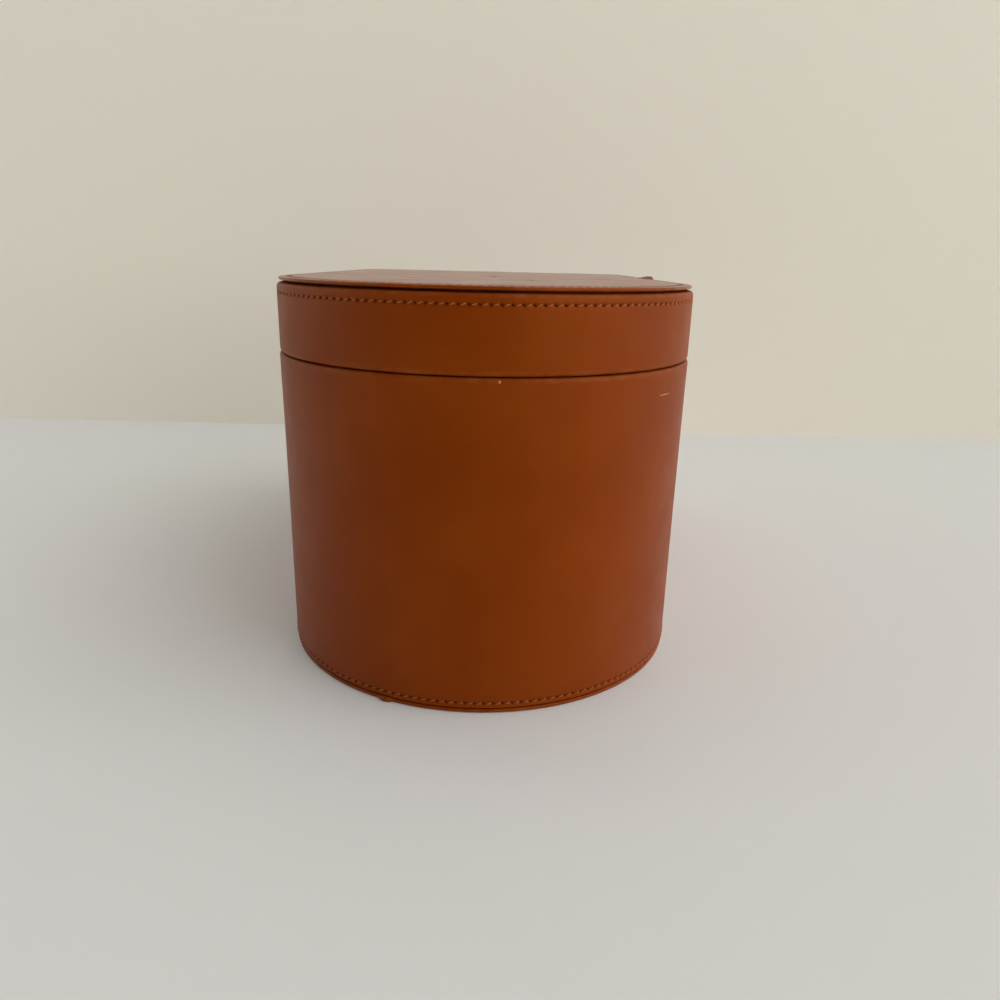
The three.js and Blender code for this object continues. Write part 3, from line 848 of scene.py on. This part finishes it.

# %% [markdown]
# ## The pull tab
# A narrow tongue of the same leather is sewn to the top of the lid, bends over its right edge and hangs
# down the side, so that a finger can lift the lid. It is one strip laid along a bent path. Its root is
# skived, which means pared thin towards its edges, so it rises softly from the panel. It has a soft bend
# just below the edge.

# %% Fold the pull tab over the edge
root_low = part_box("pull_tab_root")[0]
flap_low, flap_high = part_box("pull_tab_flap")
TAB_Y = (flap_low.y + flap_high.y) / 2
TAB_HALF = (flap_high.y - flap_low.y) / 2
TAB_THICK = flap_high.x - HALF_WIDTH
TAB_SEAT = panel_high.z - LID_CROWN - LID_STEP
TAB_BEND = TAB_THICK / 2
TAB_TOP_RUN = HALF_WIDTH - root_low.x
TAB_BEND_RUN = TAB_BEND * math.pi / 2
TAB_DROP_RUN = TAB_SEAT - flap_low.z
TAB_RUN = TAB_TOP_RUN + TAB_BEND_RUN + TAB_DROP_RUN
TAB_SKIVE = 8 * MM
TAB_RIM = 0.05 * MM
TAB_ROW = 2.4 * MM
TAB_STITCHES = 3
TAB_ROW_HALF = 6 * MM
TAB_STITCH = 2 * TAB_ROW_HALF / TAB_STITCHES
TAB_ROW_MARGIN = 0.5 * MM
TAB_PULL = 0.25
TAB_ROOT_CORNER = 1.2 * MM
TAB_TIP_HALF = 0.4 * MM
TAB_STEP_DOWN = 1.6 * MM
TAB_STEP_ACROSS = 1.5 * MM
BEND_STEPS = 6
TIP_ANGLES = (30, 45, 60, 70, 80)


def tab_place(run, width, depth):
    """A point of the tab: along the lid's top, round the edge and down the side."""
    top_z = TAB_SEAT + TAB_THICK / 2
    if run < TAB_TOP_RUN:
        return Vector((root_low.x + run, TAB_Y + width, top_z + depth))
    turned = min(run - TAB_TOP_RUN, TAB_BEND_RUN) / TAB_BEND
    arm = TAB_BEND + depth
    below = max(run - TAB_TOP_RUN - TAB_BEND_RUN, 0)
    x = HALF_WIDTH + arm * math.sin(turned)
    return Vector((x, TAB_Y + width, top_z - TAB_BEND + arm * math.cos(turned) - below))


def tab_half_width(run):
    """Half the tab's width: small corners at the root, a round tip."""
    if run < TAB_ROOT_CORNER:
        return TAB_HALF - TAB_ROOT_CORNER + math.sqrt(TAB_ROOT_CORNER**2 - (TAB_ROOT_CORNER - run) ** 2)
    past = run - (TAB_RUN - TAB_HALF)
    return TAB_HALF if past <= 0 else max(math.sqrt(max(TAB_HALF**2 - past**2, 0)), TAB_TIP_HALF)


def tab_rim(run):
    """Thickness of the tab's edge: skived on the lid's top, a plain cut edge on the hanging end."""
    past_bend = min(max((run - TAB_TOP_RUN) / TAB_BEND_RUN, 0), 1)
    return TAB_RIM + (STRIP_RIM - TAB_RIM) * past_bend


def tab_sink(run, width):
    """Needle holes of the short row that holds the root."""
    from_hole = (width + TAB_ROW_HALF) % TAB_STITCH
    hole, depth = needle_pull(from_hole * STITCH / TAB_STITCH, run - TAB_ROW)
    return (hole, TAB_PULL * depth) if abs(width) < TAB_ROW_HALF + TAB_ROW_MARGIN else (0, 0)


tab_runs = spaced(0, TAB_RUN, TAB_STEP_DOWN, [TAB_ROW + across for across in BESIDE_ROW])
tab_runs += [TAB_TOP_RUN + TAB_BEND_RUN * i / BEND_STEPS for i in range(BEND_STEPS + 1)]
tab_runs += [TAB_RUN - TAB_HALF + TAB_HALF * math.sin(math.radians(angle)) for angle in TIP_ANGLES]
tab_hole_places = [(i + part) * TAB_STITCH - TAB_ROW_HALF
                   for i in range(TAB_STITCHES) for part in WITHIN_STITCH]
tab_widths = spaced(-TAB_HALF, TAB_HALF, TAB_STEP_ACROSS, tab_hole_places)
tab_shape = strip_shape(sorted(set(tab_runs)), tab_widths, tab_half_width, TAB_THICK, tab_place, tab_sink,
                        TAB_SKIVE, tab_rim)
tab = make_piece("pull_tab_leather", tab_shape, leather)
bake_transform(tab)
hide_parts("pull_tab_root", "pull_tab_flap")
tab_holes = []
for i in range(TAB_STITCHES + 1):
    width = i * TAB_STITCH - TAB_ROW_HALF
    share = swell(TAB_ROW, TAB_SKIVE) * swell(TAB_HALF - abs(width), TAB_SKIVE)
    face = TAB_RIM + (TAB_THICK - TAB_RIM) * share - TAB_THICK / 2
    tab_holes.append(tab_place(TAB_ROW, width, face))
tab_row = sew(tab_holes, [SKYWARD] * TAB_STITCHES, WALL_RISE)
make_piece("pull_tab_stitches", tab_row, thread, "lid")

# %% [markdown]
# ## The lined inside
# The bay and the lid are lined with sleeves of velour glued to the boards, and a lined collar stands inside
# the rim so that the flush lid drops over it. They follow the same outline, further in. Their edges are
# rounded, because pile fabric folded over a board never shows a crisp corner, and the cloth waves a little
# as glued cloth does.

# %% Line the body, the lid and the collar
CLOTH_WAVE = 0.12 * MM
CLOTH_WAVE_LENGTH = 26 * MM
SLEEVE_STEP = 14 * MM


def cloth_wave(ring, distance, point):
    """Lets glued cloth wave a little, outwards and inwards of its board."""
    return noise.noise(Vector((point.x, point.y, ring.height)) / CLOTH_WAVE_LENGTH) * CLOTH_WAVE, 0


def sleeve_section(node_name, thick, edge):
    """A lined sleeve in the space of its CAD node, that thick and with round edges at its top."""
    low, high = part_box(node_name)
    outer = HALF_WIDTH - high.x
    inner = outer + thick
    rings = [Ring(inner, low.z), Ring(outer, low.z), Ring(outer, high.z - edge)]
    rings += quarter(outer + edge, high.z - edge, edge, 180, 90)[1:]
    rings += quarter(inner - edge, high.z - edge, edge, 90, 0)
    count = max(2, round((high.z - low.z) / SLEEVE_STEP))
    drop = (high.z - edge - low.z) / count
    return rings + [Ring(inner, high.z - edge - drop * i) for i in range(1, count)]


SLEEVES = {
    "body_velour": ("body_lining", "case_body", 1.2 * MM, 0.5 * MM),
    "lid_velour": ("lid_lining", "lid", 0.6 * MM, 0.25 * MM),
    "collar_velour": ("rim_collar", "case_body", 1.8 * MM, 0.8 * MM),
}
for sleeve_name, (cad_sleeve, carrier, thick, edge) in SLEEVES.items():
    sleeve = sweep(sleeve_section(cad_sleeve, thick, edge), INWARDS, cloth_wave)
    make_piece(sleeve_name, sleeve, lining_cloth, carrier, [cad_sleeve])

# %% [markdown]
# ## The floor pad and the roof pad
# A thin foam pad covered in velour lies on the floor of the bay, and another is glued under the lid's roof.
# A pad is flat where it is glued and gently crowned where it is free, and its edge is drawn in. Its rings
# start at the wall and step towards the middle line of the case, which keeps them from crossing in the
# tight back corners.

# %% Build the two pads
PAD_ROUND = 1.5 * MM
PAD_ANGLES = (25, 50, 70)
PAD_CROWN = 0.9 * MM
PAD_WAVE = 0.25 * MM
PAD_WAVE_LENGTH = 30 * MM
TOWARDS_MIDDLE = (0.04, 0.1, 0.2, 0.35, 0.5, 0.65, 0.8, 0.92)


def pad_shape(node_name, soft_side):
    """A pad in the space of its CAD node. soft_side is 1 for a pad that is soft above, -1 below."""
    low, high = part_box(node_name)
    edge = HALF_WIDTH - high.x
    glued, free = (low.z, high.z) if soft_side > 0 else (high.z, low.z)
    rings = [Ring(edge, glued), Ring(edge, free - soft_side * PAD_ROUND)]
    for angle in PAD_ANGLES:
        turn = math.radians(angle)
        drop = PAD_ROUND * (1 - math.sin(turn))
        rings.append(Ring(edge + PAD_ROUND * (1 - math.cos(turn)), free - soft_side * drop))
    for part in TOWARDS_MIDDLE:
        rings.append(Ring(0, free - soft_side * PAD_CROWN * (1 - math.sqrt(part)), part=part))

    def pad_wave(ring, distance, place):
        wave = soft_side * PAD_WAVE * noise.noise(place / PAD_WAVE_LENGTH)
        return 0, wave if ring.part else 0

    return sweep(rings, INWARDS, pad_wave, is_ring=False)


PADS = {"floor_pad_velour": ("floor_pad", "case_body", 1), "roof_pad_velour": ("lid_roof_pad", "lid", -1)}
for pad_name, (cad_pad, carrier, soft_side) in PADS.items():
    shape = pad_shape(cad_pad, soft_side)
    pad = make_piece(pad_name, shape, lining_cloth, carrier, [cad_pad])

# %% [markdown]
# ## The table and the wall
# The case stands on a pale table in front of a pale wall. Both are plain sheets, and neither is part of the
# object. The wall can only be seen from its front, so that a camera behind it still sees the back of the
# case. Both look a little paler to the camera and in reflections than the light on them makes them. More
# light would do that too, but it would wash out the leather.

# %% Set the stage
WALL_Y = 0.41


def painted(tree, place, colour, glow, see_through_back):
    """Matt paint, a little uneven from the roller, that glows to the camera and in reflections."""
    patches = add_node(tree, "TexNoise", {"Vector": place, "Scale": per_size(60), "Detail": 3})
    matt = add_node(tree, "MapRange", {"Value": patches, 3: 0.55, 4: 0.75})
    paint = add_node(tree, "BsdfPrincipled", {"Base Color": linear(colour), "Roughness": matt})
    extra = add_node(tree, "Emission", {"Color": linear(colour), "Strength": glow})
    brighter = add_node(tree, "AddShader", {0: paint, 1: extra})
    path = add_node(tree, "LightPath")
    looked_at = add_node(tree, "Math", {
        0: path.outputs["Is Camera Ray"], 1: path.outputs["Is Glossy Ray"]}, operation="ADD")
    front = add_node(tree, "MixShader", {0: looked_at, 1: paint, 2: brighter})
    if not see_through_back:
        return front
    side = add_node(tree, "NewGeometry")
    clear = add_node(tree, "BsdfTransparent")
    return add_node(tree, "MixShader", {0: side.outputs["Backfacing"], 1: front, 2: clear})


def stage_sheet(name, corners, finish):
    mesh = bpy.data.meshes.new(name)
    mesh.from_pydata(corners, [], [range(len(corners))])
    mesh.materials.append(finish)
    add_object(name, mesh)


TABLE_DROP = -0.1 * MM
TABLE_REACH = 3
CORNERS = ((-TABLE_REACH, -TABLE_REACH), (TABLE_REACH, -TABLE_REACH), (TABLE_REACH, TABLE_REACH),
           (-TABLE_REACH, TABLE_REACH))
table_corners = [(x, y, TABLE_DROP) for x, y in CORNERS]
stage_sheet("table", table_corners, mix_material("painted_table", painted, "#EAEAE7", 0.09, False))
wall_corners = [(x, WALL_Y, max(z, TABLE_DROP)) for x, z in CORNERS]
stage_sheet("wall", wall_corners, mix_material("painted_wall", painted, "#FDF7E7", 0.08, True))
print("wall", WALL_Y / MM, "mm behind the middle of the case")

# %% [markdown]
# ## The light
# The light is soft daylight. It comes from wide windows, strong on the right and weaker on the left, so it
# is drawn as a glow of the room itself on both sides, with one large lamp as a pale ceiling. The room is
# dark behind the camera: the nose of the case then reflects little and keeps its deep tan, and its flanks
# get the pale sheen that shows how smooth the leather is. Lamps at the sides would do too, but they give
# harder shadows than a room does. The camera itself sees a plain pale backdrop wherever neither the table
# nor the wall is in view.

# %% Light the case
CEILING_PLACE = Vector((0.3, 0.2, 1.7))
CEILING_SIZE = 2.2
CEILING_WATTS = 9.5
CASE_MIDDLE = Vector((0, 0, 0.09))
FRONT_GLOW, RIGHT_GLOW, LEFT_GLOW = 2.2, 1.5, 1.25

ceiling_data = bpy.data.lights.new("ceiling", "AREA")
ceiling_data.size = CEILING_SIZE
ceiling_data.energy = CEILING_WATTS
ceiling = add_object("ceiling", ceiling_data)
ceiling.location = CEILING_PLACE
ceiling.visible_camera = False
ceiling.rotation_euler = (CASE_MIDDLE - CEILING_PLACE).to_track_quat("-Z", "Y").to_euler()

world = bpy.data.worlds.new("room")
world.use_nodes = True
bpy.context.scene.world = world
tree = world.node_tree
tree.nodes.clear()
direction = add_node(tree, "SeparateXYZ", {0: add_node(tree, "TexCoord").outputs["Generated"]})
towards_right = add_node(tree, "MapRange", {"Value": direction.outputs["X"], 1: 0.25, 2: 0.6})
right_glow = add_node(tree, "MapRange", {
    "Value": direction.outputs["Y"], 1: -0.55, 2: -0.2, 3: FRONT_GLOW, 4: RIGHT_GLOW})
right_side = add_node(tree, "Math", {0: towards_right, 1: right_glow}, operation="MULTIPLY")
left_side = add_node(tree, "MapRange", {
    "Value": direction.outputs["X"], 1: -0.98, 2: -0.7, 3: LEFT_GLOW, 4: 0})
both_sides = add_node(tree, "Math", {0: right_side, 1: left_side}, operation="ADD")
room_light = add_node(tree, "Background", {"Color": linear("#FFFFFF"), "Strength": both_sides})
backdrop = add_node(tree, "Background", {"Color": linear("#D8D5CC"), "Strength": 1})
path = add_node(tree, "LightPath")
seen = add_node(tree, "MixShader", {0: path.outputs["Is Camera Ray"], 1: room_light, 2: backdrop})
add_node(tree, "OutputWorld", {"Surface": seen})
print("a ceiling lamp, and a room that is bright on both sides")
